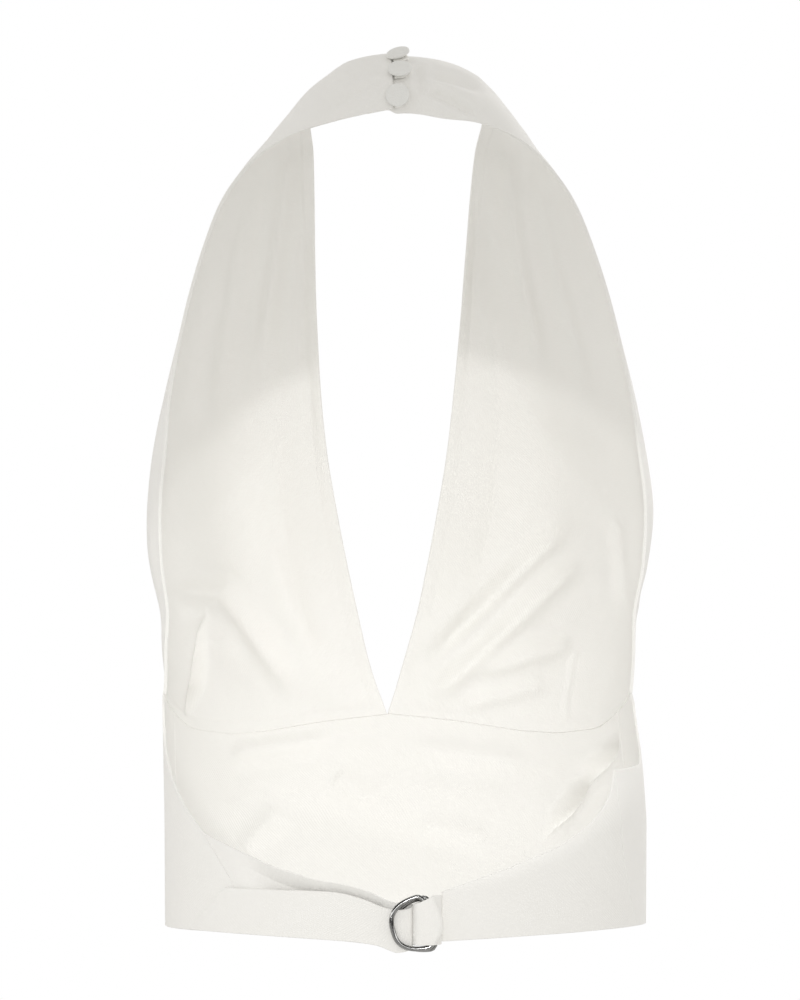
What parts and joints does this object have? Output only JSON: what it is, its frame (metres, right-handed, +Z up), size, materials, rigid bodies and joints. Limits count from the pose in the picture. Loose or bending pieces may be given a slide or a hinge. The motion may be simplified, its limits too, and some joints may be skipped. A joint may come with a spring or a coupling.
{
  "type": "halter neck top",
  "caption": "Sleeveless halter neck top with a deep open neckline, an open back, a buttoned strap behind the neck and a back waist band with a ring buckle.",
  "frame": {"origin": "on the inner face of the strap behind the neck, in the middle plane, where the wearer's nape holds the top up", "axes": "+Z up, +Y towards the wearer's front, +X towards the wearer's right hand side as the strap's right half shows it from behind"},
  "size_m": [0.2511, 0.2096, 0.4402],
  "materials": {
    "cloth": "off-white plain woven cloth, matt with a faint twill grain",
    "button_cloth": "the same cloth pulled tight over a button",
    "ring_metal": "polished silver coloured wire"
  },
  "bodies": {
    "root": {"halter_panel_left": "cloth", "halter_panel_right": "cloth", "side_panel_left": "cloth", "side_panel_right": "cloth", "back_band_left": "cloth", "back_band_right": "cloth", "waist_panel": "cloth", "strap_end": "cloth", "ring_loop": "cloth", "d_ring_inner": "ring_metal", "d_ring_outer": "ring_metal", "button_top": "button_cloth", "button_middle": "button_cloth", "button_bottom": "button_cloth", "loop_top": "cloth", "loop_middle": "cloth", "loop_bottom": "cloth"}
  },
  "joints": []
}
